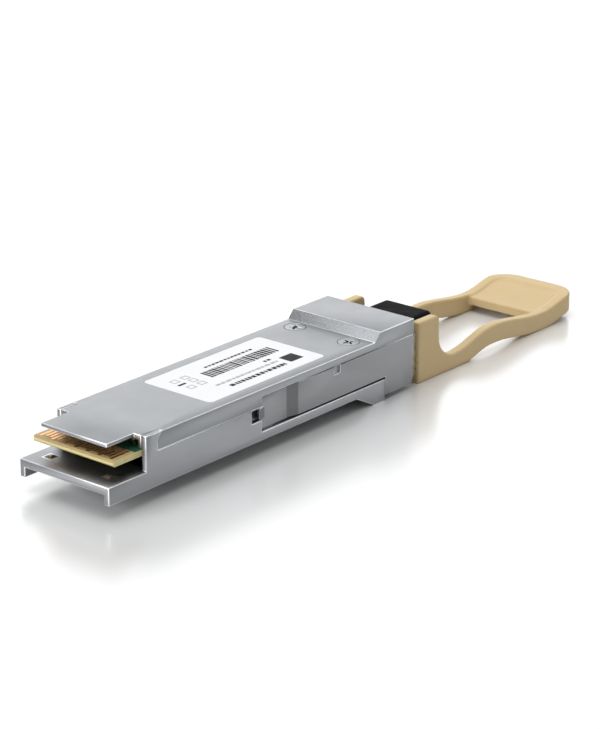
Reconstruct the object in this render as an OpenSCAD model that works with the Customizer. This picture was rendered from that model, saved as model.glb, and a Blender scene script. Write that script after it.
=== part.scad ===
// Pluggable optical transceiver module with a sliding pull-tab latch and a dust plug.
// Millimetres, +X from the card edge towards the pull tab, +Z up towards the labelled cover.
// The origin is the middle of the underside: half the overall length, on the mid plane,
// level with the flat foot that the module rests on.

/* [Body envelope] */
// Width of the cast body
body_w = 18.35; // [14:0.05:24]
// Height of the body from the lower rails to the flat cover
body_h = 8.5; // [7:0.1:12]
// Length from the lower tongue's end to the nose's end
body_l = 72.4; // [66:0.1:90]
// Thickness of the cast side walls
wall_t = 0.88; // [0.6:0.02:1.2]
// Thickness of the cast floor
floor_t = 1.2; // [0.8:0.1:1.6]
// Thickness of the cover's plate
cover_t = 0.9; // [0.6:0.1:1.2]

/* [Card end] */
// Length of the open tongue in front of the closed body
tongue_l = 8.04; // [6:0.1:12]
// Top of the lower tongue above the rails' underside
tongue_z = 2.88; // [2.2:0.02:3.4]
// Thickness of the lower tongue's plate
tongue_t = 1.28; // [0.8:0.02:1.6]
// Width of each lower rail
rail_w = 1.0; // [0.6:0.1:2]
// Setback of the upper tongue from the lower tongue's end
roof_set = 2.24; // [0.5:0.02:6]
// Distance of the upper tongue's sides from the side faces
roof_in = 2.415; // [1.5:0.005:4]
// Thickness of the upper tongue
roof_t = 0.6; // [0.4:0.05:1]
// Side of each square guide stud on the lower tongue
stud_s = 1.8; // [1:0.1:3]
// Setback of the guide studs from the lower tongue's end
stud_x = 3.4; // [2.5:0.1:5]
// Distance of the guide studs from the side faces
stud_in = 3.105; // [2.5:0.005:5]

/* [Circuit board] */
// Thickness of the circuit board
board_t = 1.0; // [0.8:0.05:1.3]
// Depth of the board's upper face below the cover
board_drop = 2.25; // [1.8:0.01:2.6]
// Setback of the board from the lower tongue's end
board_set = 2.0; // [1:0.05:4]
// Cut across each corner of the card edge
card_corner = 0.12; // [0.05:0.01:0.5]
// Clearance of the card edge beside the side walls
board_gap = 0.085; // [0.06:0.005:0.3]
// Least margin between the outer contact pads and the board's sides
pad_edge = 0.6; // [0.3:0.05:1]
// Spacing of the contact pads
pad_pitch = 0.8; // [0.5:0.05:1.2]
// Width of each contact pad
pad_w = 0.54; // [0.3:0.02:0.7]
// Length of each contact pad
pad_l = 3.4; // [2:0.1:5]
// Distance from the circuit board's end to the ferrule
optic_gap = 6.8; // [6:0.1:9]
// Thickness of the gold plating as drawn
pad_t = 0.05; // [0.03:0.01:0.1]

/* [Cover] */
// Depth of the joint between cover and base in front of the latch pocket
joint_drop = 2.85; // [2.3:0.05:3.4]
// Depth of the joint above the latch pocket
skirt_drop = 1.25; // [1.1:0.05:1.5]
// Length of the nose from the ramp's start
nose_l = 10.36; // [9:0.02:14]
// Length of the ramp
ramp_l = 1.37; // [0.8:0.05:3]
// Rise of the nose above the cover
nose_rise = 1.42; // [0.8:0.02:2.5]
// Distance of the cover screws in front of the ramp
screw_back = 2.39; // [2:0.01:4]
// Clearance between the screw bosses and the ferrule's flange
screw_gap = 0.14; // [0.1:0.02:0.6]
// Diameter of each countersunk head
head_d = 3.8; // [3:0.1:4.4]
// Gap between the heads' rims and their countersinks, across the diameter
head_gap = 0.3; // [0.1:0.05:0.5]
// Diameter of each screw's shank
shank_d = 1.9; // [1.4:0.1:2.2]
// Start of the label
label_x = 24.6; // [16:0.1:30]
// Distance between the label and the screw heads
label_gap = 5.55; // [1:0.05:12]
// Distance of the label from the side faces
label_in = 2.115; // [1:0.005:4]
// Rounding of the label's corners
label_r = 0.8; // [0.2:0.1:2]
// Thickness of the label
label_t = 0.1; // [0.05:0.01:0.2]

/* [Foot] */
// Length of the foot's slope
foot_slope = 4.5; // [2:0.1:8]
// Length of the foot's flat
foot_flat = 2.87; // [2:0.01:6]
// Distance from the foot's end to the nose's end
foot_back = 7.53; // [6:0.01:9]
// Drop of the foot below the rails
foot_h = 2.3; // [1.5:0.05:3]

/* [Latch] */
// Start of the side pocket that holds the latch arm
pocket_x = 34.2; // [30:0.1:40]
// Lower edge of the side pocket
pocket_z = 1.45; // [1:0.05:2]
// Depth of the side pocket
pocket_d = 1.02; // [0.9:0.02:1.3]
// Thickness of the latch sheet steel
steel_t = 0.4; // [0.3:0.02:0.5]
// Depth of the flush length of the arm below the side face
arm_sink = 0.08; // [0.05:0.01:0.2]
// Clearance between the release pad and the pocket's floor
pad_gap = 0.1; // [0.05:0.01:0.2]
// Length of the release pad and of its ramp
pad_len = 6.4; // [4:0.1:8]
pad_ramp = 2.3; // [1.5:0.1:4]
// Lower edge of the arm
arm_z = 1.75; // [1.6:0.05:2]
// Lower edge of the yoke under the nose
yoke_z = -1.4; // [-1.8:0.05:-1.35]
// Length of the relief slot in front of the pocket
slot_l = 2.4; // [1.8:0.1:3]
// Height of the relief slot
slot_h = 2.05; // [1.4:0.05:2.4]
// Distance of the relief slot below the joint
slot_drop = 0.2; // [0.1:0.05:0.6]

/* [Springs] */
// Wire thickness of the return springs
wire_d = 0.2; // [0.14:0.02:0.26]
// Mean radius of the coils
coil_r = 0.45; // [0.35:0.01:0.5]
// Number of turns
coil_n = 6; // [4:1:9]
// Distance of the inner tab's opening from the pocket's start
notch_l = 17.5; // [12:0.1:18]
// Length of the spring at rest
spring_l = 5.0; // [4:0.1:5.4]

/* [Pull tab] */
// Length of the pull tab
tab_l = 47.2; // [42:0.1:70]
// Distance of the pull tab's posts from the nose
tab_gap = 2.0; // [1.6:0.1:3]
// Depth of the steel necks inside the posts
neck_skin = 0.65; // [0.5:0.05:0.8]
// Distance of the pull tab's arms inside the side faces
tab_in = 0.425; // [0.1:0.005:1]
// Width of each arm
arm_w = 1.7; // [1.3:0.05:2.4]
// Depth of each arm and of the loop
tab_t = 3.4; // [2:0.1:4]
// Length of each post
post_l = 5.6; // [4:0.1:7]
// Depth of the posts' tops below the cover
post_drop = 0.05; // [0:0.05:0.8]
// Place and height of the arms' highest point
crest_l = 21.1; // [16:0.1:22]
crest_z = 2.5; // [1.5:0.05:4]
// Place and height of the loop's lowest point
dip_l = 36.0; // [30:0.1:38]
dip_z = 0.95; // [0.7:0.05:1.5]
// Height of the loop's far end
end_z = 2.25; // [0.8:0.05:4]
// Length of the finger plate
plate_l = 11.8; // [9:0.1:18]
// Width of the rim beyond the hollow
rim_w = 2.9; // [1.5:0.1:4]
// Depth of the hollow in the finger plate
hollow_d = 0.35; // [0.2:0.05:0.8]
// Thickness of the finger plate between the arms
plate_t = 2.0; // [1.4:0.1:3]
// Rounding of the pull tab's two far corners
tab_r = 4.7; // [2:0.1:6]

/* [Optical port] */
// Half width and half height of the port opening
port_hw = 5.3; // [4.5:0.05:5.6]
port_hh = 3.3; // [2.8:0.05:3.4]
// Depth of the port's axis below the middle of the body
port_drop = 0.05; // [0:0.05:0.3]
// Length of the receptacle housing
house_l = 9.3; // [8:0.1:9.3]
// Side wall of the receptacle housing
house_wall = 1.1; // [0.7:0.05:1.3]
// Width, height and length of the fibre ferrule
ferrule_w = 6.4; // [5.8:0.1:6.8]
ferrule_h = 2.5; // [2.2:0.05:3]
ferrule_l = 8.0; // [6:0.1:8.2]
// Spacing and diameter of the guide pins
pin_pitch = 4.6; // [4:0.1:5.2]
pin_d = 0.7; // [0.5:0.05:0.8]

/* [Dust plug] */
// Clearance of the plug's shank in the port
plug_gap = 0.2; // [0.1:0.05:0.3]
// How far the plug stands out of the nose
plug_out = 10.3; // [6:0.1:12]
// Depth of the shank in the port
plug_in = 2.6; // [1.5:0.1:2.7]
// Rounding of the plug's edges
plug_r = 0.9; // [0.3:0.05:1.4]
// Height of the plug's grip above its shank
grip_rise = 0.25; // [0:0.05:0.6]

/* [Hidden] */
$fn = 32;

boss_r = 2.0;
flange_w = 0.3;
hw = body_w / 2;
tab_hw = hw - tab_in;
joint_z = body_h - joint_drop;
skirt_z = body_h - skirt_drop;
nose_z = body_h + nose_rise;
board_z = body_h - board_drop;
port_z = body_h / 2 - port_drop;
post_z = body_h - post_drop;
slot_z1 = joint_z - slot_drop;
slot_z0 = slot_z1 - slot_h;
roof_hw = hw - roof_in;
stud_y = hw - stud_in;
label_w = body_w - 2 * label_in;
tab_x = body_l + tab_gap;
overall_l = tab_x + tab_l;
crest_x = tab_x + crest_l;
dip_x = tab_x + dip_l;
plate_x = overall_l - plate_l;
ramp_x = body_l - nose_l;
screw_x = ramp_x - screw_back;
screw_y = ferrule_w / 2 + flange_w + boss_r + screw_gap;
label_l = screw_x - head_d / 2 - label_gap - label_x;
foot_end = body_l - foot_back;
foot_flat_x = foot_end - foot_flat;
foot_x = foot_flat_x - foot_slope;
house_x1 = body_l - 1.0;
port_x = house_x1 - house_l;
house_hw = port_hw + house_wall;
cavity_x = port_x + 2.9;
ferrule_x = port_x - 3.3;
pocket_y = hw - pocket_d;
slot_x = pocket_x - slot_l;
notch_x0 = pocket_x + notch_l;
gasket_x0 = pocket_x + 1.8;
gasket_x1 = notch_x0 - 1.7;
gasket_y = pocket_y - 0.805;
relief_x = pocket_x + pad_len;
relief_end = relief_x + pad_ramp;
board_b = board_z - board_t;
ceil_z = body_h - cover_t;
run = 0.1;
nose_b = yoke_z + steel_t + run;
ear_x = 11.45;
ear_foot = 10.35;
ear_z = body_h - 1.36;
inner_y = hw - wall_t;
board_w = 2 * (inner_y - board_gap);
pads_n = floor((board_w - 2 * pad_edge - pad_w) / pad_pitch) + 1;
rear_in = pocket_y - 1.05;
board_x1 = ferrule_x - optic_gap;
chip_t = 0.9;
pedestal_z = board_b - chip_t - 0.53;
lens_x = board_x1 - 8;
shoulder_x = slot_x - 1.6;
boss_in = rear_in - 0.75;
rear_w = boss_in - 0.155;
plug_end = body_l + plug_out;
arm_out = hw - arm_sink;
pad_out = pocket_y + pad_gap + steel_t;
neck_z0 = -0.6;
neck_z1 = skirt_z - 0.35;
neck_y = tab_hw - neck_skin;
neck_x1 = tab_x + post_l - 1;
notch_x1 = notch_x0 + 1.6;
itab_x0 = notch_x0 + 0.4;
itab_x1 = itab_x0 + steel_t;
spring_x = itab_x1 + 0.02;
spring_z = skirt_z - 0.75;
notch_z0 = skirt_z - 1.4;
notch_z1 = skirt_z - 0.1;
spring_y = pocket_y - 0.7;
spring_end = spring_x + spring_l;
house_top = port_z + 4.0;
house_bot = port_z - 4.0;

// Moves a sub-part from plug-end coordinates to the row's origin
module seat() {
    translate([-overall_l / 2, 0, foot_h]) children();
}
// Both sides of the mid plane
module both() {
    children();
    mirror([0, 1, 0]) children();
}
// A plate drawn in X and Z that runs from y0 to y1
module side_plate(y0, y1) {
    translate([0, y1, 0]) rotate([90, 0, 0]) linear_extrude(y1 - y0) children();
}
// A box given by its low and high corners
module block(a, b) {
    translate(a) cube(b - a);
}
// A box along X with rounded long edges
module bar(x0, x1, y, z0, z1, r) {
    translate([x0, 0, (z0 + z1) / 2])
        rotate([90, 0, 90])
            linear_extrude(x1 - x0)
                round_rect(2 * y, z1 - z0, r);
}
module round_rect(w, h, r) {
    union() {
        square([w - 2 * r, h], center = true);
        square([w, h - 2 * r], center = true);
        for (sx = [-1, 1])
            for (sy = [-1, 1])
                translate([sx * (w / 2 - r), sy * (h / 2 - r)]) circle(r = r);
    }
}

// Cast base: open tongue, floor, side walls, foot, latch pockets and half of the port frame
module lower_shell() {
    color("silver") seat() difference() {
        union() {
            // open tongue between two rails
            block([0, -hw, tongue_z - tongue_t], [tongue_l + 0.01, hw, tongue_z]);
            both() block([0, hw - rail_w, 0], [tongue_l + 0.01, hw, tongue_z]);
            // floor, foot and the strip under the pocket
            side_plate(-hw, hw)
                polygon([[tongue_l, 0], [foot_x, 0], [foot_flat_x, -foot_h], [foot_end, -foot_h],
                         [foot_end, floor_t], [tongue_l, floor_t]]);
            both() block([pocket_x - 0.5, pocket_y - 0.5, 0], [foot_end, hw, pocket_z]);
            block([foot_end - 0.5, -pocket_y, nose_b], [body_l, pocket_y, house_bot]);
            block([tongue_l, -hw, floor_t - 0.01], [tongue_l + 1.2, hw, tongue_z]);
            // front walls with the ear beside the cover
            both() side_plate(inner_y, hw)
                polygon([[tongue_l, 0], [tongue_l, body_h], [ear_x, body_h], [ear_foot, ear_z],
                         [ear_foot, joint_z + 0.4], [ear_foot + 0.4, joint_z],
                         [pocket_x, joint_z], [pocket_x, 0]]);
            // ledges that carry the board
            both() block([10.2, board_w / 2 - 0.8, floor_t - 0.01],
                         [shoulder_x - 0.2, inner_y + 0.1, board_b]);
            // thicker wall where the pocket starts
            both() block([slot_x - 1.2, rear_in, floor_t - 0.01], [pocket_x, inner_y + 0.1, joint_z]);
            // walls behind the latch arms
            both() block([slot_x - 1.2, rear_in, floor_t - 0.01], [port_x, pocket_y, skirt_z]);
            both() block([notch_x0 - 0.75, boss_in, skirt_z - 2.05],
                         [spring_end + 1, rear_in + 0.1, skirt_z]);
            both() block([port_x - 0.6, house_hw + 0.05, nose_b], [body_l, pocket_y, skirt_z]);
            block([house_x1, -house_hw - 0.1, house_bot - 0.1], [body_l, house_hw + 0.1, skirt_z]);
            // bosses for the cover screws
            both() translate([screw_x, screw_y, floor_t - 0.01])
                cylinder(r = boss_r, h = skirt_z - floor_t + 0.01);
            // pedestal under the retimers
            block([lens_x - 21.5, -3.4, floor_t - 0.01], [lens_x - 7, 3.4, pedestal_z]);
        }
        // relief slot open to the pocket
        both() block([slot_x, pocket_y, slot_z0], [pocket_x + 0.6, hw + 1, slot_z1]);
        both() block([pocket_x, pocket_y, pocket_z], [pocket_x + 0.6, hw + 1, skirt_z + 1]);
        // seat of the receptacle
        block([port_x, -house_hw, house_bot], [house_x1, house_hw, skirt_z + 1]);
        block([port_x - 1.2, -4.2, floor_t], [port_x + 0.1, 4.2, skirt_z + 1]);
        // opening of the port through the end wall
        block([house_x1 - 1, -port_hw - 0.1, port_z - port_hh - 0.1],
              [body_l + 1, port_hw + 0.1, skirt_z + 1]);
        // channels of the return springs, with room for the inner tabs
        both() block([notch_x0 - 0.35, spring_y - 0.62, skirt_z - 1.45],
                     [spring_end + 0.02, pocket_y + 1, skirt_z - 0.05]);
        // threads of the cover screws
        both() translate([screw_x, screw_y, body_h - 5.9]) cylinder(d = shank_d, h = 8);
        // grooves of the gaskets
        both() block([gasket_x0, gasket_y, skirt_z - 0.4], [gasket_x1, gasket_y + 0.5, skirt_z + 1]);
        // way of the ferrule between the bosses
        block([ferrule_x - 4.2, -ferrule_w / 2 - flange_w - 0.05, floor_t],
              [port_x + 0.1, ferrule_w / 2 + flange_w + 0.05, skirt_z + 1]);
    }
    color("silver") seat() {
        // low square studs with bevelled tops
        both() translate([stud_x, stud_y, tongue_z - 0.01])
            rotate([0, 0, 45])
                cylinder(d1 = stud_s * sqrt(2), d2 = stud_s * 0.55, h = 0.36, $fn = 4);
    }
}

// Cast cover: upper tongue, skirts, raised nose and the upper half of the port frame
module upper_shell() {
    color("gainsboro") seat() difference() {
        union() {
            block([roof_set, -roof_hw, body_h - roof_t], [tongue_l + 0.5, roof_hw, body_h]);
            // front deck between the ears
            block([tongue_l, -inner_y + 0.1, ceil_z], [ear_x + 0.5, inner_y - 0.1, body_h]);
            both() block([tongue_l, inner_y - 0.75, board_z + 0.1], [ear_x + 0.5, inner_y - 0.1, body_h]);
            // deck and skirts behind the ears
            both() side_plate(inner_y - 0.04, hw)
                polygon([[ear_x + 0.05, body_h], [ear_foot + 0.05, ear_z - 0.02],
                         [ear_foot + 0.05, joint_z + 0.42], [ear_foot + 0.42, joint_z],
                         [pocket_x, joint_z], [pocket_x, skirt_z], [ramp_x, skirt_z],
                         [ramp_x, body_h]]);
            block([ear_x, -inner_y, ceil_z], [ramp_x, inner_y, body_h]);
            both() block([pocket_x - 1.4, rear_in, skirt_z], [ramp_x, hw, body_h]);
            both() block([pocket_x - 1.4, pocket_y - 0.1, joint_z], [pocket_x, hw, skirt_z + 0.1]);
            // rim over the bosses
            block([screw_x - 2.45, -rear_in - 0.1, skirt_z], [ramp_x, rear_in + 0.1, body_h]);
            // nose
            side_plate(-hw, hw)
                polygon([[ramp_x - 0.01, skirt_z], [ramp_x - 0.01, body_h], [ramp_x, body_h],
                         [ramp_x + ramp_l, nose_z], [body_l, nose_z], [body_l, skirt_z]]);
        }
        // walls behind the arms stay clear of the skirt
        both() block([slot_x - 1.3, rear_in - 0.1, joint_z - 1], [pocket_x + 0.1, pocket_y, skirt_z]);
        // seat of the receptacle
        block([port_x, -house_hw, skirt_z - 1], [house_x1, house_hw, house_top]);
        block([house_x1 - 0.5, -port_hw - 0.1, skirt_z - 1],
              [body_l + 1, port_hw + 0.1, port_z + port_hh + 0.1]);
        // ferrule's way under the rim
        block([screw_x - 2.65, -ferrule_w / 2 - flange_w - 0.05, skirt_z - 1],
              [port_x + 0.1, ferrule_w / 2 + flange_w + 0.05, ceil_z]);
        // countersunk holes
        both() translate([screw_x, screw_y, skirt_z - 1]) cylinder(d = shank_d, h = 3);
        both() translate([screw_x, screw_y, body_h - 0.95])
            cylinder(d1 = shank_d, d2 = head_d, h = 0.95);
        // seat of the label
        translate([label_x + label_l / 2, 0, body_h - label_t]) linear_extrude(1)
            round_rect(label_l + 0.12, label_w + 0.12, label_r + 0.06);
    }
}

// Countersunk screws with cross recesses
module cover_screws() {
    color("gainsboro") seat() both() translate([screw_x, screw_y, 0]) difference() {
        union() {
            translate([0, 0, body_h - 5.3]) cylinder(d = shank_d, h = 4.36);
            translate([0, 0, body_h - 0.95])
                cylinder(d1 = shank_d, d2 = head_d - head_gap, h = 0.93);
        }
        for (a = [20, 110])
            translate([0, 0, body_h - 0.5]) rotate([0, 0, a]) cube([2.1, 0.42, 1], center = true);
        translate([0, 0, body_h - 0.62]) cylinder(d1 = 0.4, d2 = 1.0, h = 0.7);
    }
}

// Printed paper label
module label() {
    color("white") seat() translate([label_x + label_l / 2, 0, body_h - label_t])
        linear_extrude(label_t) round_rect(label_l, label_w, label_r);
}

// Conductive gaskets in the grooves of the side walls
module emi_gaskets() {
    color("dimgray") seat() both() block([gasket_x0, gasket_y, skirt_z - 0.4],
                                         [gasket_x1, gasket_y + 0.5, skirt_z]);
}

// Paddle card: a wide card edge and a narrower rear half
module circuit_board() {
    color("darkgreen") seat() difference() {
        translate([0, 0, board_b]) linear_extrude(board_t)
            polygon([[board_set, -board_w / 2 + card_corner], [board_set + card_corner, -board_w / 2],
                     [shoulder_x, -board_w / 2], [shoulder_x, -rear_w], [board_x1, -rear_w],
                     [board_x1, rear_w], [shoulder_x, rear_w], [shoulder_x, board_w / 2],
                     [board_set + card_corner, board_w / 2], [board_set, board_w / 2 - card_corner]]);
        // bevelled leading edge
        both() side_plate(-board_w, board_w)
            polygon([[board_set - 1, board_z + 1], [board_set - 1, board_z - 0.3],
                     [board_set, board_z - 0.3], [board_set + 0.3, board_z],
                     [board_set + 0.3, board_z + 1]]);
        side_plate(-board_w, board_w)
            polygon([[board_set - 1, board_b - 1], [board_set - 1, board_b + 0.3],
                     [board_set, board_b + 0.3], [board_set + 0.3, board_b],
                     [board_set + 0.3, board_b - 1]]);
    }
}
module pad_row(z) {
    for (i = [0 : pads_n - 1]) {
        long = (i % 3 == 0) ? 0.5 : 0;
        y = (i - (pads_n - 1) / 2) * pad_pitch;
        block([board_set + 1.0 - long, y - pad_w / 2, z],
              [board_set + 1.0 + pad_l, y + pad_w / 2, z + pad_t]);
    }
}
module contacts_top() {
    color("goldenrod") seat() pad_row(board_z);
}
module contacts_bottom() {
    color("goldenrod") seat() pad_row(board_b - pad_t);
}

// Retimers on the board's underside
module retimer_chips() {
    color("dimgray") seat() for (x = [lens_x - 20.5, lens_x - 13])
        block([x, -2.5, board_b - chip_t], [x + 5, 2.5, board_b]);
}
// Laser driver and receiver amplifier beside the lens block
module driver_chips() {
    color("slategray") seat() for (y = [-1.6, 1.6])
        block([lens_x - 3.6, y - 1.1, board_b - 0.4], [lens_x - 1.2, y + 1.1, board_b]);
}
// Microcontroller on the board's upper side
module controller_chip() {
    color("dimgray") seat() block([lens_x - 16.5, -2, board_z], [lens_x - 12.5, 2, board_z + 0.8]);
}
// Power inductors
module power_parts() {
    color("gray") seat() for (y = [-4.2, 4.2])
        block([14, y - 1, board_z], [16.5, y + 1, board_z + 1.0]);
}
// Coupling capacitors behind the card edge
module capacitors() {
    color("tan") seat() for (i = [0 : 9]) {
        y = (i - 4.5) * 1.3;
        block([10.2, y - 0.25, board_z], [11.2, y + 0.25, board_z + 0.5]);
    }
}
module crystal() {
    color("silver") seat() block([lens_x - 10, 2, board_z], [lens_x - 8, 3.6, board_z + 0.5]);
}

// Moulded lens block over the lasers and photodiodes
module lens_block() {
    color("orange") seat() difference() {
        block([lens_x, -3.2, board_b - 1.7], [lens_x + 5, 3.2, board_b]);
        block([lens_x + 1.2, -1.9, board_b - 2], [lens_x + 2.8, 1.9, board_b - 1.2]);
        block([lens_x + 3.6, -1.6, board_b - 1.25], [lens_x + 6, 1.6, board_b - 0.9]);
    }
}
// Flat ribbon of fibres from the lens block to the ferrule
module fibre_ribbon() {
    color("aqua") seat() side_plate(-1.55, 1.55)
        polygon([[lens_x + 3.6, board_b - 1.22], [lens_x + 7, board_b - 1.22],
                 [ferrule_x - 4.8, port_z - 0.15], [ferrule_x - 1.6, port_z - 0.15],
                 [ferrule_x - 1.6, port_z + 0.15], [ferrule_x - 4.7, port_z + 0.15],
                 [lens_x + 7.1, board_b - 0.92], [lens_x + 3.6, board_b - 0.92]]);
}
// Soft boot behind the ferrule
module ferrule_boot() {
    color("black") seat() difference() {
        block([ferrule_x - 3.4, -2.2, port_z - 0.85], [ferrule_x, 2.2, port_z + 0.85]);
        block([ferrule_x - 4, -1.55, port_z - 0.15], [ferrule_x - 1.6, 1.55, port_z + 0.15]);
    }
}
// Multi-fibre ferrule with a rear flange
module mt_ferrule() {
    color("dimgray") seat() difference() {
        union() {
            block([ferrule_x, -ferrule_w / 2, port_z - ferrule_h / 2],
                  [ferrule_x + ferrule_l, ferrule_w / 2, port_z + ferrule_h / 2]);
            block([ferrule_x, -ferrule_w / 2 - flange_w, port_z - ferrule_h / 2 - 0.25],
                  [ferrule_x + 2, ferrule_w / 2 + flange_w, port_z + ferrule_h / 2 + 0.25]);
        }
        both() translate([ferrule_x + 1.2, pin_pitch / 2, port_z])
            rotate([0, 90, 0]) cylinder(d = pin_d, h = 10);
        block([ferrule_x + 3, -1.5, port_z + 0.9], [ferrule_x + 5.4, 1.5, port_z + 2]);
    }
}
// Steel guide pins in the ferrule
module guide_pins() {
    color("lightgray") seat() both() translate([ferrule_x + 1.2, pin_pitch / 2, port_z])
        rotate([0, 90, 0]) {
            cylinder(d = pin_d, h = ferrule_l + 0.4);
            translate([0, 0, ferrule_l + 0.4]) cylinder(d1 = pin_d, d2 = pin_d / 2, h = 0.4);
    }
}

// Black receptacle housing with a keyed port
module receptacle() {
    color("black") seat() difference() {
        block([port_x, -house_hw, house_bot], [house_x1, house_hw, house_top]);
        block([cavity_x, -port_hw, port_z - port_hh], [house_x1 + 1, port_hw, port_z + port_hh]);
        block([cavity_x + 1, -1.3, port_z], [house_x1 + 1, 1.3, port_z + port_hh + 0.5]);
        block([port_x - 1, -ferrule_w / 2 - 0.05, port_z - ferrule_h / 2 - 0.05],
              [cavity_x + 1, ferrule_w / 2 + 0.05, port_z + ferrule_h / 2 + 0.05]);
    }
}
// Spring hooks that hold a fibre connector
module latch_clip() {
    color("darkslategray") seat() difference() {
        union() {
            block([cavity_x, -port_hw + 0.4, port_z - 1.9],
                  [cavity_x + 0.7, port_hw - 0.4, port_z + 1.9]);
            both() block([cavity_x, port_hw - 1, port_z - 1.2],
                         [cavity_x + 4.4, port_hw - 0.4, port_z + 1.2]);
            both() translate([cavity_x + 3.2, port_hw - 0.95, port_z - 1.2]) linear_extrude(2.4)
                polygon([[0, 0], [0.4, -0.6], [1.2, 0]]);
        }
        block([cavity_x - 1, -ferrule_w / 2 - 0.1, port_z - ferrule_h / 2 - 0.1],
              [cavity_x + 2, ferrule_w / 2 + 0.1, port_z + ferrule_h / 2 + 0.1]);
    }
}

// Gap pads that carry heat from the board to the two castings
module base_thermal_pad() {
    color("pink") seat() block([lens_x - 21, -3, pedestal_z], [lens_x - 7.5, 3, board_b - chip_t]);
}
module cover_thermal_pad() {
    color("pink") seat() block([lens_x - 5, -4.5, board_z], [lens_x + 6, 4.5, ceil_z]);
}

// Bent steel latch: two arms joined by a yoke under the nose
module latch_slider() {
    color("lightgray") seat() difference() {
        union() {
            both() translate([0, 0, arm_z]) linear_extrude(skirt_z - 0.05 - arm_z)
                polygon([[pocket_x + 0.15, pad_out], [relief_x, pad_out], [relief_end, arm_out],
                         [body_l - 0.2, arm_out], [body_l - 0.2, arm_out - steel_t],
                         [relief_end, arm_out - steel_t], [relief_x, pad_out - steel_t],
                         [pocket_x + 0.15, pad_out - steel_t]]);
            // guide foot of the release pad
            both() block([pocket_x + 0.8, pad_out - steel_t, pocket_z + 0.05],
                         [pocket_x + 3.1, pad_out, arm_z + 0.1]);
            // bent-out tip that lies in the relief slot
            both() translate([0, 0, slot_z0 + 0.1]) linear_extrude(slot_z1 - slot_z0 - 0.2)
                polygon([[pocket_x - 0.6, hw - 0.06], [pocket_x - 0.6, hw - 0.06 - steel_t],
                         [pocket_x + 1, pad_out - steel_t], [pocket_x + 1.6, pad_out - steel_t],
                         [pocket_x + 1.6, pad_out], [pocket_x + 1.1, pad_out]]);
            // cheeks and yoke
            both() block([foot_end + 0.23, arm_out - steel_t, yoke_z + 0.001],
                         [body_l - 0.2, arm_out, arm_z + 0.1]);
            block([foot_end + 0.23, -arm_out, yoke_z], [body_l - 0.2, arm_out, yoke_z + steel_t]);
            // necks that turn inwards into the pull tab
            both() translate([0, 0, neck_z0]) linear_extrude(neck_z1 - neck_z0)
                polygon([[body_l - 0.6, arm_out], [body_l - 0.2, arm_out], [tab_x - 0.1, neck_y],
                         [neck_x1, neck_y], [neck_x1, neck_y - steel_t],
                         [tab_x - 0.3, neck_y - steel_t], [body_l - 0.6, arm_out - steel_t]]);
            // inner tabs that push the springs
            both() block([itab_x0, spring_y - 0.52, notch_z0 + 0.05],
                         [itab_x1, arm_out - steel_t + 0.05, notch_z1 - 0.05]);
        }
        // openings left by the inner tabs
        both() block([notch_x0, arm_out - steel_t + 0.05, notch_z0], [notch_x1, hw, notch_z1]);
    }
}

// Coil springs that return the latch, swept as round wire along a helix
coil_steps = 14;
coil_sides = 8;
coil_rise = (spring_l - wire_d) / (360 * coil_n);
coil_slope = (spring_l - wire_d) / (2 * PI * coil_r * coil_n);
function coil_point(i, j) =
    let (a = 360 * i / coil_steps, t = 360 * j / coil_sides, m = sqrt(1 + coil_slope * coil_slope))
    [wire_d / 2 + coil_rise * a, coil_r * cos(a), coil_r * sin(a)]
    + wire_d / 2 * cos(t) * [0, cos(a), sin(a)]
    + wire_d / 2 * sin(t) / m * [-1, -coil_slope * sin(a), coil_slope * cos(a)];
module coil() {
    rings = coil_steps * coil_n;
    k = coil_sides;
    polyhedron(
        points = [for (i = [0 : rings]) for (j = [0 : k - 1]) coil_point(i, j)],
        faces = concat(
            [[for (j = [0 : k - 1]) j]],
            [[for (j = [k - 1 : -1 : 0]) rings * k + j]],
            [for (i = [0 : rings - 1]) for (j = [0 : k - 1])
                [i * k + j, (i + 1) * k + j, i * k + (j + 1) % k]],
            [for (i = [0 : rings - 1]) for (j = [0 : k - 1])
                [i * k + (j + 1) % k, (i + 1) * k + j, (i + 1) * k + (j + 1) % k]]));
}
module return_springs() {
    color("gray") seat() both() translate([spring_x, spring_y, spring_z]) coil();
}

// Height of the pull tab's upper face at x, in smooth waves between its stations
function blend(t) = (1 - cos(180 * max(0, min(1, t)))) / 2;
function top_z(x) =
    x < crest_x ? valley_z + (crest_z - valley_z) * blend((x - valley_x) / (crest_x - valley_x)) :
    x < dip_x ? crest_z + (dip_z - crest_z) * blend((x - crest_x) / (dip_x - crest_x)) :
    dip_z + (end_z - dip_z) * blend((x - dip_x) / (overall_l - 2.3 - dip_x));
valley_x = tab_x + post_l + 4.5;
valley_z = 0.45;
function low_z(x) = max(top_z(x) - tab_t, -foot_h);
wave_n = 26;
function wave_x(i) = valley_x + (overall_l - valley_x) * i / wave_n;

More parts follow.
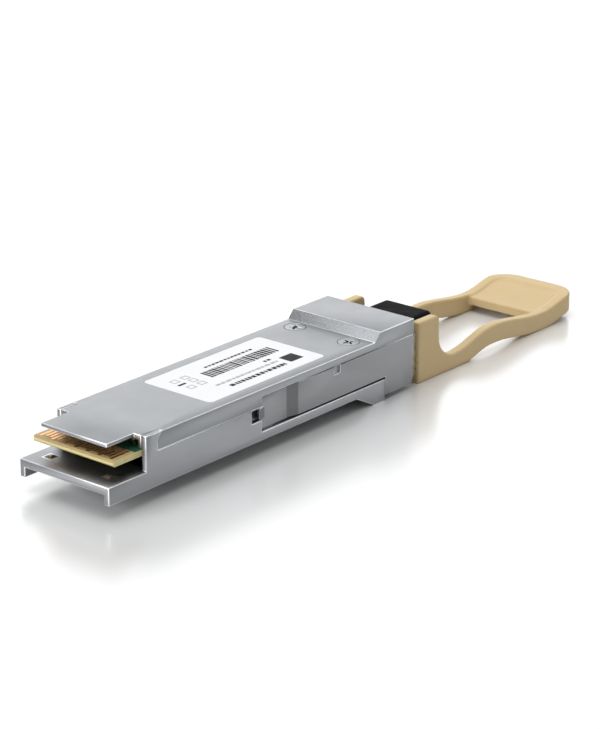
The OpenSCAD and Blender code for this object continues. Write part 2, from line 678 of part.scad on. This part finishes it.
module tab_profile() {
    post_r = 1.0;
    union() {
        polygon(concat(
            [[tab_x, -foot_h], [tab_x, post_z], [tab_x + post_l - post_r, post_z]],
            [for (a = [75 : -15 : 0])
                [tab_x + post_l - post_r + post_r * cos(a), post_z - post_r + post_r * sin(a)]],
            [for (a = [180 : 10 : 270])
                [valley_x + 4.5 * cos(a), 4.7 + (4.7 - valley_z) * sin(a)]],
            [for (i = [1 : wave_n]) [wave_x(i), top_z(wave_x(i))]],
            [for (i = [wave_n : -1 : 0]) [wave_x(i), low_z(wave_x(i))]]));
    }
}
module tab_plan() {
    r = tab_r;
    difference() {
        union() {
            translate([tab_x, -tab_hw]) square([overall_l - r - tab_x, 2 * tab_hw]);
            translate([overall_l - r - 1, -tab_hw + r]) square([r + 1, 2 * (tab_hw - r)]);
            for (s = [-1, 1]) translate([overall_l - r, s * (tab_hw - r)]) circle(r = r, $fn = 48);
        }
        translate([tab_x - 1, -tab_hw + arm_w]) square([plate_x - tab_x + 1, 2 * (tab_hw - arm_w)]);
    }
}
// Moulded pull tab: two posts, wavy arms and a hollowed finger plate
module pull_tab() {
    color("burlywood") seat() difference() {
        intersection() {
            side_plate(-tab_hw, tab_hw) tab_profile();
            translate([0, 0, -foot_h - 1]) linear_extrude(20) tab_plan();
        }
        // hollow of the finger plate, at a constant depth under the wave
        intersection() {
            side_plate(-tab_hw, tab_hw)
                polygon(concat(
                    [for (i = [0 : 14]) let (x = plate_x - 1 + plate_l * i / 14)
                        [x, top_z(x) - hollow_d]],
                    [[plate_x - 1 + plate_l, 8], [plate_x - 1, 8]]));
            translate([0, 0, -4]) linear_extrude(20)
                translate([(plate_x - 4 + overall_l - rim_w) / 2, 0])
                    round_rect(plate_l - rim_w + 4, 2 * (tab_hw - arm_w - 0.15), 2.2);
        }
        // underside of the finger plate, raised between the arms
        side_plate(-tab_hw + arm_w, tab_hw - arm_w)
            polygon(concat(
                [for (i = [0 : 14]) let (x = plate_x - 1 + plate_l * i / 14)
                    [x, top_z(x) - plate_t]],
                [[plate_x - 1 + plate_l, -8], [plate_x - 1, -8]]));
        // seats of the steel necks
        both() block([tab_x - 1, neck_y - steel_t, neck_z0], [neck_x1, neck_y, neck_z1]);
    }
}

// Rubber plug: shank in the port, stop flange and grip
module dust_plug() {
    gy = port_hw - plug_gap;
    gz = port_hh - plug_gap;
    color("#222222") seat() union() {
        bar(body_l - plug_in, body_l + 0.5, gy, port_z - gz, port_z + gz, 0.5);
        bar(body_l + 0.1, body_l + 1.3, gy + 0.9, port_z - gz - 0.7, port_z + gz + 0.7, 0.8);
        bar(body_l + 1, plug_end, gy, port_z - gz, port_z + gz + grip_rise, plug_r);
    }
}

lower_shell();
upper_shell();
cover_screws();
label();
emi_gaskets();
circuit_board();
contacts_top();
contacts_bottom();
retimer_chips();
driver_chips();
controller_chip();
power_parts();
capacitors();
crystal();
lens_block();
fibre_ribbon();
ferrule_boot();
mt_ferrule();
guide_pins();
receptacle();
latch_clip();
base_thermal_pad();
cover_thermal_pad();
latch_slider();
return_springs();
pull_tab();
dust_plug();
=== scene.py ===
# %% [markdown]
# # A pluggable optical transceiver module
#
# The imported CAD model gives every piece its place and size. This lesson turns it into something
# that looks real: cast metal with soft edges, stamped steel, a moulded pull tab, a rubber plug,
# a gold-plated card edge and a printed label. Everything is in metres, in the CAD model's frame:
# +X runs from the card edge to the pull tab and +Z points up through the cover.

# %% Load the frame
import math
import random

import bmesh
import bpy
from mathutils import Matrix, Vector


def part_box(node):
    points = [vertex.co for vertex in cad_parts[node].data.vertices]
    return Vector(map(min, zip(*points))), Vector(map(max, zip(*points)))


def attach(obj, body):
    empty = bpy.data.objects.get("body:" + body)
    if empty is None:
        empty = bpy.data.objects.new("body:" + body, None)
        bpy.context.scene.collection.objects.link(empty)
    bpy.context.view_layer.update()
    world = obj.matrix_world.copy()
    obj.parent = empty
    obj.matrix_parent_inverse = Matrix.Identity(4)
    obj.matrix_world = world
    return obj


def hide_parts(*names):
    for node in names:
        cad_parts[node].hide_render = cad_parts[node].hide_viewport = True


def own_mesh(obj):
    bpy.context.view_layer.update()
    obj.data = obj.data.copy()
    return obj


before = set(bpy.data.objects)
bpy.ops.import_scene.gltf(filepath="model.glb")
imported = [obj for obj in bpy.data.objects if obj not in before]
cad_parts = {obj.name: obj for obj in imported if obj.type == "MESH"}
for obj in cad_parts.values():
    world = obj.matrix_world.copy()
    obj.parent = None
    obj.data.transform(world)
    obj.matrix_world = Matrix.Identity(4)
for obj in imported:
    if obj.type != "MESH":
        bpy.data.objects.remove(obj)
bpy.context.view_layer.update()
MM = 0.001

# %% [markdown]
# ## Camera
#
# A long lens from the card end, a little above the module, keeps the long body from
# looking stretched. The camera is set by a point to aim at, a distance, a bearing round the
# object and a height above the table.

# %% Camera
AIM = Vector((-16.38, -8.18, 11.73)) * MM
BEARING, HEIGHT, ROLL = math.radians(-50.10), math.radians(20.05), math.radians(0.06)
AWAY = 413.27 * MM
LENS = 130.37
SENSOR_WIDTH = 36

back = Vector((math.sin(BEARING) * math.cos(HEIGHT), -math.cos(BEARING) * math.cos(HEIGHT),
               math.sin(HEIGHT)))
side = (-back).cross(Vector((0, 0, 1))).normalized()
up = side.cross(-back)
side, up = (math.cos(ROLL) * side + math.sin(ROLL) * up,
            math.cos(ROLL) * up - math.sin(ROLL) * side)
camera_data = bpy.data.cameras.new("camera")
camera_data.lens = LENS
camera_data.sensor_width = SENSOR_WIDTH
camera_data.clip_start = 10 * MM
camera = bpy.data.objects.new("camera", camera_data)
bpy.context.scene.collection.objects.link(camera)
facing = Matrix((side, up, back)).transposed().to_4x4()
camera.matrix_world = Matrix.Translation(AIM + AWAY * back) @ facing
bpy.context.scene.camera = camera
print("camera stands at", [round(v / MM, 1) for v in camera.matrix_world.translation], "mm")

# %% [markdown]
# ## Table and light
#
# The module lies on a pale satin table in a small studio. The table has a little blurred mirror in
# it, so that the metal sits on a reflection that fades away from it. Four soft boxes do the
# lighting: a broad one overhead for the flat tops, a wall of light behind that the tops and the
# table mirror, one at the card end for the faces that look that way, and a small weak one beyond
# the pull tab for the near side.

# %% A helper that adds one shader node
def add(tree, kind, inputs=None, **settings):
    """Adds a node of this kind. A socket given as an input is linked, anything else is its value."""
    made = tree.nodes.new(kind)
    for name, value in settings.items():
        setattr(made, name, value)
    for name, value in (inputs or {}).items():
        if isinstance(value, bpy.types.NodeSocket):
            tree.links.new(value, made.inputs[name])
        else:
            made.inputs[name].default_value = value
    return made


def colour(text):
    """Turns an sRGB hex value into the linear colour that a shader works with."""
    parts = [int(text[i:i + 2], 16) / 255 for i in (0, 2, 4)]
    linear = [c / 12.92 if c <= 0.04045 else ((c + 0.055) / 1.055) ** 2.4 for c in parts]
    return (*linear, 1.0)


def new_material(name):
    """An empty material with its shader joined to its output."""
    made = bpy.data.materials.new(name)
    made.use_nodes = True
    made.node_tree.nodes.clear()
    shader = add(made.node_tree, "ShaderNodeBsdfPrincipled")
    add(made.node_tree, "ShaderNodeOutputMaterial", {"Surface": shader.outputs["BSDF"]})
    return made, made.node_tree, shader


print("helpers ready")

# %% Table
TABLE_SIZE = 6.0
table_material, tree, shader = new_material("white_lacquered_table")
shader.inputs["Base Color"].default_value = colour("E6E6E6")
shader.inputs["Metallic"].default_value = 0.25
shader.inputs["Roughness"].default_value = 0.24
shader.inputs["IOR"].default_value = 1.6
bm = bmesh.new()
bmesh.ops.create_grid(bm, x_segments=1, y_segments=1, size=TABLE_SIZE / 2)
mesh = bpy.data.meshes.new("table")
bm.to_mesh(mesh)
bm.free()
table = bpy.data.objects.new("table", mesh)
mesh.materials.append(table_material)
bpy.context.scene.collection.objects.link(table)
print("table", TABLE_SIZE, "m wide")

# %% Soft boxes and room
def soft_box(name, place, aim, width, height, power):
    """A white area light at place that looks at aim. Its sizes are in metres."""
    data = bpy.data.lights.new(name, "AREA")
    data.shape, data.size, data.size_y = "RECTANGLE", width, height
    data.energy = power
    lamp = bpy.data.objects.new(name, data)
    lamp.location = place
    lamp.rotation_euler = (Vector(aim) - Vector(place)).to_track_quat("-Z", "Y").to_euler()
    bpy.context.scene.collection.objects.link(lamp)
    print(name, "at", place, "with", power, "W")


soft_box("overhead", (-0.10, 0.10, 0.90), (0, 0, 0), 1.2, 1.0, 8.4)
soft_box("back_wall", (1.30, 1.05, 0.55), (0, 0, 0.20), 2.4, 1.3, 14)
soft_box("card_end", (-0.90, 0.15, 0.35), (0, 0, 0), 0.8, 0.6, 5.4)
soft_box("near_side", (0.42, -0.36, 0.19), (0.02, 0, 0), 0.30, 0.30, 0.5)

room = bpy.data.worlds.new("room")
room.use_nodes = True
room.node_tree.nodes["Background"].inputs["Color"].default_value = colour("F2F4F6")
room.node_tree.nodes["Background"].inputs["Strength"].default_value = 0.25
bpy.context.scene.world = room
bpy.context.scene.view_settings.view_transform = "Standard"

# %% [markdown]
# ## Soft edges on the CAD shapes
#
# No real casting, pressing or moulding has a perfectly sharp edge, and it is the thin bright
# line along each edge that tells the eye what a thing is made of. The CAD solids are exact but
# sharp, so each visible one is copied, the corners of its loose triangles are joined into one
# closed mesh, and its edges are bevelled by a small real radius. The flat faces stay triangles:
# they shade flat, and merging them into large faces leaves slits beside the bevels. The copy
# then stands for the CAD node.

# %% Rounded copy of a CAD node
# Sizes are in mm and angles in degrees
SHADE_TURN = 35
BEVEL_TURN = 25
BEVEL_SEGMENTS = 2
BEVEL_SHORTEST = 0.3
MERGE = 0.002
# Places in a piece's finishes, after its main one
# On the castings, the latch and the screws the EDGE material is a painted highlight; on the board it is the
# cut laminate
EDGE = 1
OTHER = 2


def place(name, bm, finishes, body, slot, replaces=()):
    """Turns a finished bmesh into an object with its materials and body. The slot is not used."""
    mesh = bpy.data.meshes.new(name)
    bm.to_mesh(mesh)
    bm.free()
    imported_normals = mesh.attributes.get("custom_normal")
    if imported_normals:
        mesh.attributes.remove(imported_normals)
    for finish in finishes:
        mesh.materials.append(finish)
    mesh.set_sharp_from_angle(angle=math.radians(SHADE_TURN))
    piece = bpy.data.objects.new(name, mesh)
    bpy.context.scene.collection.objects.link(piece)
    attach(piece, body)
    if replaces:
        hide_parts(*replaces)
    print(name, len(mesh.polygons), "faces")
    return piece


def joined_copy(node, rounded=False):
    """The CAD node's triangles with their shared corners joined, shaded smooth if rounded."""
    bm = bmesh.new()
    bm.from_mesh(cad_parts[node].data)
    bmesh.ops.remove_doubles(bm, verts=bm.verts, dist=MERGE * MM)
    for face in bm.faces:
        face.smooth = rounded
    return bm


def soften(bm, radius, keep=lambda edge: True):
    """Bevels the edges that turn sharply and aren't too short, and gives them the edge material, a painted
    highlight.
    """
    turning = [e for e in bm.edges if len(e.link_faces) == 2 and keep(e)
               and e.calc_face_angle(0) > math.radians(BEVEL_TURN)
               and e.calc_length() > BEVEL_SHORTEST * MM]
    made = bmesh.ops.bevel(bm, geom=turning, offset=radius * MM, offset_type="OFFSET",
                           segments=BEVEL_SEGMENTS, profile=0.5, affect="EDGES",
                           clamp_overlap=False, loop_slide=False, material=-1)
    for face in made["faces"]:
        face.smooth = True
        face.material_index = EDGE


def paint(bm, index, test):
    """Gives a material index to every face that passes the test on its middle and its normal."""
    for face in bm.faces:
        if test(face.calc_center_median() / MM, face.normal):
            face.material_index = index


print("bevel helpers ready")

# %% [markdown]
# ## How a surface is made to look real
#
# A flat colour never looks like a made thing. Each finish drifts a little in colour and gloss
# over patches of a few millimetres and carries a fine grain in its height. All sizes are real
# millimetres, turned into noise scales. The patterns read Object coordinates, which are the
# same metres as the CAD model, so nothing slides when a joint moves.

# %% The shared surface pattern
CLOUD_LOW = 0.3
CLOUD_HIGH = 0.7


def mottle(tree, shader, patch, tones, gloss, grain, depth, stretch):
    """Drifts colour and gloss over patches and lifts a grain: patch, grain and depth are in mm."""
    where = add(tree, "ShaderNodeTexCoord").outputs["Object"]
    where = add(tree, "ShaderNodeMapping", {"Vector": where, "Scale": stretch}).outputs["Vector"]
    cloud = add(tree, "ShaderNodeTexNoise", {"Vector": where, "Scale": 1 / (patch * MM),
                                             "Detail": 3.0}).outputs["Fac"]
    tone = add(tree, "ShaderNodeMixRGB", {"Fac": cloud, "Color1": colour(tones[0]),
                                          "Color2": colour(tones[1])})
    tree.links.new(tone.outputs["Color"], shader.inputs["Base Color"])
    rough = add(tree, "ShaderNodeMapRange", {"Value": cloud, "From Min": CLOUD_LOW,
                                             "From Max": CLOUD_HIGH, "To Min": gloss[0],
                                             "To Max": gloss[1]})
    tree.links.new(rough.outputs["Result"], shader.inputs["Roughness"])
    speck = add(tree, "ShaderNodeTexNoise", {"Vector": where, "Scale": 1 / (grain * MM),
                                             "Detail": 2.0}).outputs["Fac"]
    bump = add(tree, "ShaderNodeBump", {"Height": speck, "Distance": depth * MM})
    tree.links.new(bump.outputs["Normal"], shader.inputs["Normal"])


def surface(name, patch, tones, gloss, grain, depth, metal=False, stretch=(1, 1, 1), **sockets):
    """A whole finish: the pattern, and any plain values that the shader's own sockets take."""
    made, tree, shader = new_material(name)
    shader.inputs["Metallic"].default_value = 1.0 if metal else 0.0
    for socket, value in sockets.items():
        shader.inputs[socket.replace("_", " ")].default_value = value
    mottle(tree, shader, patch, tones, gloss, grain, depth, stretch)
    return made


print("surface pattern ready")

# %% [markdown]
# ## The cast shells
#
# Both halves of the housing are pressure die castings, tumbled and then plated. The bevels get a
# smoother gloss and a much lighter colour of their own; the lighter colour is a painted highlight
# along the edges. The short ramp up to the nose keeps its rough cast skin. The bevels are real
# geometry and not a shader trick, because the shape then survives the export.

# %% Cast metal finishes
plated_zinc = surface("plated_zinc_casting", 2.5, ("97999C", "A1A3A6"), (0.38, 0.46), 0.30, 0.004,
                      metal=True)
# Painted highlight: the bevels' colour is much lighter than the flats'
painted_edge_highlight = surface("zinc_edge_painted_highlight", 2.0, ("DADCDE", "E8EAEC"), (0.28, 0.36), 0.30, 0.001,
                      metal=True)
cast_skin = surface("rough_cast_zinc", 0.30, ("5E6063", "C4C6C9"), (0.40, 0.60), 0.28, 0.045,
                    metal=True)
CAST = (plated_zinc, painted_edge_highlight, cast_skin)
print("cast finishes:", [m.name for m in CAST])

# %% Cast shells
CARD_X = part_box("lower_shell")[0].x / MM
cover_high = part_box("upper_shell")[1]
NOSE_TOP = cover_high.z / MM
COVER_END = cover_high.x / MM
label_low, label_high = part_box("label")
screw_low, screw_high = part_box("cover_screws")
CAST_EDGE_R = 0.14
RAMP_DEPTH = 1.5
# How far round the label and the screws an edge stays sharp
LABEL_ROOM = 1.0 * MM
NEAR = 0.3 * MM
SEAT_DROP = 0.05 * MM
SINK_DEPTH = 1.0 * MM


def middle_of(edge):
    return (edge.verts[0].co + edge.verts[1].co) / 2


def by_label(edge):
    """True on the rim of the label's seat, which is too shallow to take a bevel."""
    at = middle_of(edge)
    return (label_low.x - LABEL_ROOM < at.x < label_high.x + LABEL_ROOM
            and abs(at.y) < label_high.y + NEAR and at.z > label_low.z - SEAT_DROP)


def by_screw(edge):
    """True on and beside the screws' countersinks, which stay sharp."""
    at = middle_of(edge)
    return (screw_low.x - NEAR < at.x < screw_high.x + NEAR
            and abs(at.y) < screw_high.y + NEAR and at.z > screw_high.z - SINK_DEPTH)


bm = joined_copy("lower_shell")
soften(bm, CAST_EDGE_R)
place("cast_base", bm, CAST, "housing", "cast_metal", ("lower_shell",))
bm = joined_copy("upper_shell")
soften(bm, CAST_EDGE_R, keep=lambda edge: not by_label(edge) and not by_screw(edge))
paint(bm, OTHER, lambda middle, normal: normal.x < -0.5 and normal.z > 0.4
      and middle.z > NOSE_TOP - RAMP_DEPTH)
place("cast_cover", bm, CAST, "housing", "cast_metal", ("upper_shell",))

# %% [markdown]
# ## The stamped latch
#
# The latch is one strip of stainless spring steel, stamped and bent to run down both sides and
# under the nose. Stamping leaves a small burr radius on the edges. Those edge bevels and the
# necks' outer faces get a much lighter colour, a painted highlight, and the sloping bends in the
# arms get a darker colour, painted shade, with a rougher gloss. Rolling leaves faint streaks
# along the strip, drawn by stretching the pattern along X.

# %% Latch
rolled_steel = surface("rolled_spring_steel", 1.2, ("86888A", "929496"), (0.33, 0.42), 0.25, 0.003,
                       metal=True, stretch=(0.15, 1, 1))
# Painted highlight: a much lighter colour on the stamped edges' bevels and on the necks' outer faces
steel_edge = surface("latch_edge_painted_highlight", 1.0, ("C8CACC", "DCDEE0"), (0.25, 0.35), 0.25, 0.003,
                     metal=True)
# Painted shade: a darker colour on the sloping bends in the arms, with a rougher gloss
painted_shade_bend = surface("steel_bend_painted_shade", 0.8, ("727476", "7E8082"), (0.45, 0.55), 0.2, 0.004,
                     metal=True)
LATCH_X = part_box("latch_slider")[0].x / MM
BURR_R = 0.08
# The sloping bends in the arms lie this near the latch's card end and this far out
BEND_REACH = 12
BEND_OUT = 8.2
# The necks' outer faces, beyond the cover, lie this far out
NECK_OUT = 7.6
bm = joined_copy("latch_slider")
soften(bm, BURR_R)
# The sloping bends get the darker painted shade
paint(bm, OTHER, lambda middle, normal: abs(normal.y) > 0.9 and 0.1 < abs(normal.x) < 0.4
      and abs(middle.y) > BEND_OUT and middle.x < LATCH_X + BEND_REACH)
# The necks' outer faces beyond the cover get the painted highlight too
paint(bm, EDGE, lambda middle, normal: middle.x > COVER_END and abs(middle.y) > NECK_OUT
      and normal.y * middle.y > 0)
place("latch_strip", bm, (rolled_steel, steel_edge, painted_shade_bend), "latch", "spring_steel",
      ("latch_slider",))

# %% [markdown]
# ## The cover screws
#
# Two countersunk screws hold the cover down. Their plating is a little smoother than the
# casting's. The cross recess is in the CAD model; rounding its rim lets it catch the light, and
# the rounded rim also carries the painted edge highlight.

# %% Screws
plated_screw = surface("zinc_plated_screw_steel", 0.8, ("8E9093", "A8AAAD"), (0.25, 0.36), 0.2,
                       0.003, metal=True)
RECESS_RIM_R = 0.05
bm = joined_copy("cover_screws", rounded=True)
# The rim's bevels get the painted edge highlight
soften(bm, RECESS_RIM_R)
place("screw_heads", bm, (plated_screw, painted_edge_highlight), "housing", "screw_steel", ("cover_screws",))

# %% [markdown]
# ## The paddle card
#
# The circuit board is glass-epoxy laminate. Its flat faces are green with solder mask, except
# at the card edge, where the mask stops and bare tan laminate shows between the gold pads. The
# cut sides show the yellow laminate itself. One copy of the CAD board is cut at the mask's end
# and each face is painted by where it looks.

# %% Board
MASK_START = 6.7
solder_mask = surface("green_solder_mask", 1.6, ("1F4A35", "2E6148"), (0.22, 0.34), 0.35, 0.004)
cut_laminate = surface("cut_glass_epoxy_edge", 0.5, ("C9BC80", "DDD29B"), (0.45, 0.6), 0.15, 0.006,
                       stretch=(1, 1, 0.3))
bare_laminate = surface("bare_glass_epoxy", 0.6, ("A08A5E", "B39C6C"), (0.35, 0.5), 0.2, 0.004)
bm = joined_copy("circuit_board")
bmesh.ops.bisect_plane(bm, geom=bm.verts[:] + bm.edges[:] + bm.faces[:], dist=1e-7,
                       plane_co=Vector((CARD_X + MASK_START, 0, 0)) * MM, plane_no=(1, 0, 0))
paint(bm, EDGE, lambda middle, normal: abs(normal.z) < 0.5)
paint(bm, OTHER, lambda middle, normal: abs(normal.z) >= 0.5 and middle.x < CARD_X + MASK_START)
place("paddle_card", bm, (solder_mask, cut_laminate, bare_laminate), "housing", "circuit_board",
      ("circuit_board",))

# %% [markdown]
# ## The pull tab
#
# The tab is moulded in a matt beige thermoplastic with generous soft edges everywhere, even
# round the shallow finger hollow. Its outline waves, so it has no long clean edges to bevel.
# Instead the shape is rebuilt on a fine grid and relaxed: each round of smoothing pulls a sharp
# edge in by a fraction of a grid step and leaves the flats where they are.

# %% Melted edges
MELT_STEP = 0.2
MELT_ROUNDS = 6


def melt_edges(piece):
    """Rebuilds the piece on a fine grid and relaxes it."""
    grid = piece.modifiers.new("grid", "REMESH")
    grid.mode = "VOXEL"
    grid.voxel_size = MELT_STEP * MM
    grid.use_smooth_shade = True
    relax = piece.modifiers.new("relax", "SMOOTH")
    relax.factor = 0.5
    relax.iterations = MELT_ROUNDS
    print(piece.name, "relaxed on a", MELT_STEP, "mm grid")


# %% Pull tab
moulded_tab = surface("moulded_beige_thermoplastic", 3.0, ("C4AB7C", "CEB587"), (0.48, 0.58), 0.45,
                      0.006)
tab = place("finger_tab", joined_copy("pull_tab", rounded=True), (moulded_tab,), "latch",
            "tab_plastic", ("pull_tab",))
melt_edges(tab)

# %% [markdown]
# ## The dust plug
#
# The plug is a soft black elastomer moulding, nearly without gloss.

# %% Dust plug
black_elastomer = surface("black_elastomer", 2.0, ("0A0A0B", "101011"), (0.6, 0.75), 0.3, 0.004,
                          Specular_IOR_Level=0.06)
plug = place("port_plug", joined_copy("dust_plug", rounded=True), (black_elastomer,), "plug",
             "plug_rubber", ("dust_plug",))
melt_edges(plug)

# %% [markdown]
# ## The label
#
# A paper label with rounded corners sits in its shallow seat. Its print is generic: a bar code
# of random bars, rows of plain dashes where a real one has words, and solid and outlined
# squares where it has marks. Each printed mark is a very thin block standing on the paper, so
# the print is real geometry and needs no image.

# %% Label paper and ink
label_paper = surface("coated_label_paper", 4.0, ("DADADC", "E4E4E6"), (0.40, 0.50), 0.25, 0.002)
black_ink = surface("thermal_transfer_ink", 0.8, ("0B0B0C", "161618"), (0.5, 0.6), 0.2, 0.001,
                    Specular_IOR_Level=0.15)
grey_ink = surface("grey_transfer_ink", 0.8, ("9A9CA0", "AEB0B4"), (0.5, 0.6), 0.2, 0.001)
INK_T = 0.012
# Places in the print's two inks
BLACK = 0
GREY = 1
DASH_SHORTEST = 0.35
DASH_GAP = (0.18, 0.3)
SQUARE_W = 1.4
SQUARE_H = 1.32
LINE = 0.22


def mark(bm, x0, x1, y0, y1, ink=BLACK):
    """One printed block: x from the label's card end and y from its middle, in mm."""
    low = Vector((label_low.x + x0 * MM, y0 * MM, label_high.z))
    high = Vector((label_low.x + x1 * MM, y1 * MM, label_high.z + INK_T * MM))
    before = len(bm.faces)
    bmesh.ops.create_cube(bm, size=1.0, matrix=Matrix.Translation((low + high) / 2)
                          @ Matrix.Diagonal((*(high - low), 1)))
    for face in bm.faces[before:]:
        face.material_index = ink


def dashes(bm, dice, x0, x1, y, height, longest, ink):
    """A row of plain dashes that fills x0 to x1."""
    x = x0
    while x < x1 - DASH_GAP[1]:
        end = min(x + dice.uniform(DASH_SHORTEST, longest), x1)
        mark(bm, x, end, y - height / 2, y + height / 2, ink)
        x = end + dice.uniform(*DASH_GAP)


def outlined_square(bm, x, y):
    """Four thin lines round an empty square."""
    right, top = x + SQUARE_W, y + SQUARE_H
    mark(bm, x, right, y, y + LINE, GREY)
    mark(bm, x, right, top - LINE, top, GREY)
    mark(bm, x, x + LINE, y + LINE, top - LINE, GREY)
    mark(bm, right - LINE, right, y + LINE, top - LINE, GREY)


print("inks:", black_ink.name, grey_ink.name)

# %% Label print
CODE_START, CODE_END = 8.6, 24.8
CODE_Y = (0.1, 2.8)
BAR_WIDTHS = (0.3, 0.42, 0.55)
BAR_GAPS = (0.22, 0.3)
# Each row's two ends, middle, height, longest dash and ink
DASH_ROWS = (
    (11.0, 22.5, 4.0, 0.5, 0.9, BLACK),
    (19.1, 21.0, -1.35, 0.6, 0.7, BLACK),
    (6.2, 20.8, -2.75, 0.6, 1.2, GREY),
    (7.6, 20.7, -4.5, 0.85, 1.0, BLACK),
)
SOLID_SQUARE = (21.9, 24.9, -4.7, -2.0)
SOLID_BAR = (2.3, 4.0, 1.35, 1.85)
SQUARE_CORNERS = ((2.6, 2.6), (5.0, 2.6), (2.6, -0.9), (5.0, -0.9), (5.0, 0.9))

dice = random.Random(7)
bm = bmesh.new()
x = CODE_START
while x < CODE_END:
    bar = dice.choice(BAR_WIDTHS)
    mark(bm, x, x + bar, *CODE_Y)
    x += bar + dice.choice(BAR_GAPS)
for row in DASH_ROWS:
    dashes(bm, dice, *row)
mark(bm, *SOLID_SQUARE)
mark(bm, *SOLID_BAR)
for corner_x, corner_y in SQUARE_CORNERS:
    outlined_square(bm, corner_x, corner_y)
place("label_print", bm, (black_ink, grey_ink), "housing", "label_paper")

# %% [markdown]
# ## Finishes for the pieces that keep their CAD shape
#
# The contacts, chips, lens, fibre, springs and port parts are already the right shape. They sit
# deep inside or are very small, so each only gets the finish of its real material.

# %% Finishes of the carried pieces
FINISHES = {
    "label": label_paper,
    "gold": surface("hard_gold_plating", 1.0, ("D9A066", "E6B47C"), (0.25, 0.35), 0.15, 0.002, metal=True),
    "mould": surface("epoxy_mould_compound", 0.8, ("161617", "222224"), (0.5, 0.62), 0.12, 0.006),
    "die": surface("polished_silicon", 1.5, ("3A3D45", "4C505A"), (0.08, 0.16), 0.3, 0.001, metal=True),
    "ceramic": surface("sintered_ceramic", 0.4, ("A88C5C", "C2A878"), (0.4, 0.55), 0.1, 0.004),
    "can": surface("nickel_plated_lid", 0.8, ("A8A8A4", "B9B9B4"), (0.2, 0.3), 0.2, 0.002, metal=True),
    "lens": surface("amber_polyetherimide", 1.0, ("B4691C", "CC8030"), (0.08, 0.16), 0.3, 0.001, IOR=1.66),
    "fibre": surface("coated_fibre_ribbon", 0.25, ("3F9FAE", "58BCCB"), (0.25, 0.35), 0.25, 0.01,
                     stretch=(0.02, 1, 1)),
    "boot": surface("boot_rubber", 1.0, ("121213", "1C1C1D"), (0.6, 0.7), 0.25, 0.006),
    "ferrule": surface("glass_filled_ferrule_polymer", 0.5, ("232427", "303236"), (0.35, 0.5), 0.12, 0.004),
    "pin": surface("ground_pin_steel", 0.6, ("B4B4B6", "C8C8CA"), (0.12, 0.2), 0.1, 0.001, metal=True),
    "port": surface("glass_filled_port_plastic", 0.8, ("131314", "1E1E20"), (0.4, 0.5), 0.2, 0.005),
    "pad": surface("silicone_gap_pad", 1.2, ("B9748A", "CC8A9E"), (0.6, 0.75), 0.3, 0.015),
    "gasket": surface("conductive_silicone_gasket", 0.6, ("47484A", "5C5D5F"), (0.5, 0.65), 0.15, 0.01),
}
CARRIED = {
    "label": ("label",), "gold": ("contacts_top", "contacts_bottom"),
    "mould": ("retimer_chips", "controller_chip", "power_parts"), "die": ("driver_chips",),
    "ceramic": ("capacitors",), "can": ("crystal",), "lens": ("lens_block",),
    "fibre": ("fibre_ribbon",), "boot": ("ferrule_boot",), "ferrule": ("mt_ferrule",),
    "pin": ("guide_pins",), "port": ("receptacle", "latch_clip"),
    "pad": ("base_thermal_pad", "cover_thermal_pad"), "gasket": ("emi_gaskets",),
}
for finish, nodes in CARRIED.items():
    for node in nodes:
        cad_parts[node].data.materials.clear()
        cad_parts[node].data.materials.append(FINISHES[finish])
print(sum(len(nodes) for nodes in CARRIED.values()), "nodes carried with", len(FINISHES), "finishes")

# %% [markdown]
# ## The return springs
#
# Two little coil springs push the latch home. When the tab is pulled they close up between the
# latch's inner tabs and the ends of their channels. Here the piece only gets its wire finish and
# its own copy of the mesh.

# %% Springs
spring_wire = surface("drawn_spring_wire", 0.4, ("8E9092", "A4A6A8"), (0.2, 0.3), 0.1, 0.002,
                      metal=True)
springs = place("wire_springs", joined_copy("return_springs", rounded=True), (spring_wire,),
                "housing", "spring_steel", ("return_springs",))
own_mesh(springs)
